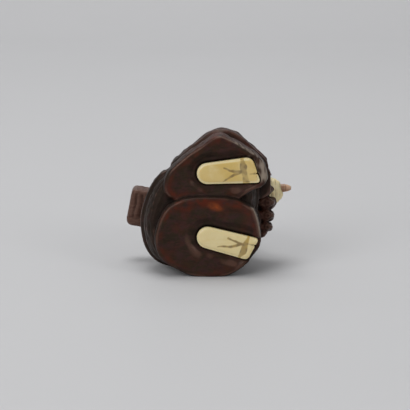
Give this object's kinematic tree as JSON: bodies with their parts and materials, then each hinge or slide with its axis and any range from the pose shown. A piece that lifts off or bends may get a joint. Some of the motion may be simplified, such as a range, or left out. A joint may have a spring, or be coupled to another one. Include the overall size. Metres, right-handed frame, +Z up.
{
  "type": "netsuke",
  "caption": "Small carved netsuke of a hooded figure in wide trousers, with ivory soles, hand and face inlaid in dark wood, lying on its side.",
  "frame": {"origin": "middle of the bounding box's underside, on the surface that the figure lies on", "axes": "+X is the way the figure's toes and face point, +Y runs from its soles to its crown, +Z is up, from its left side to its right side"},
  "size_m": [0.034, 0.0374, 0.0285],
  "materials": {
    "stained_wood": "satin",
    "ivory": "satin",
    "stained_ivory": "satin"
  },
  "bodies": {
    "root": {"robed_body": "stained_wood", "left_foot": "ivory", "right_foot": "ivory", "right_hand": "ivory", "face": "ivory", "rod": "stained_ivory"}
  },
  "joints": []
}
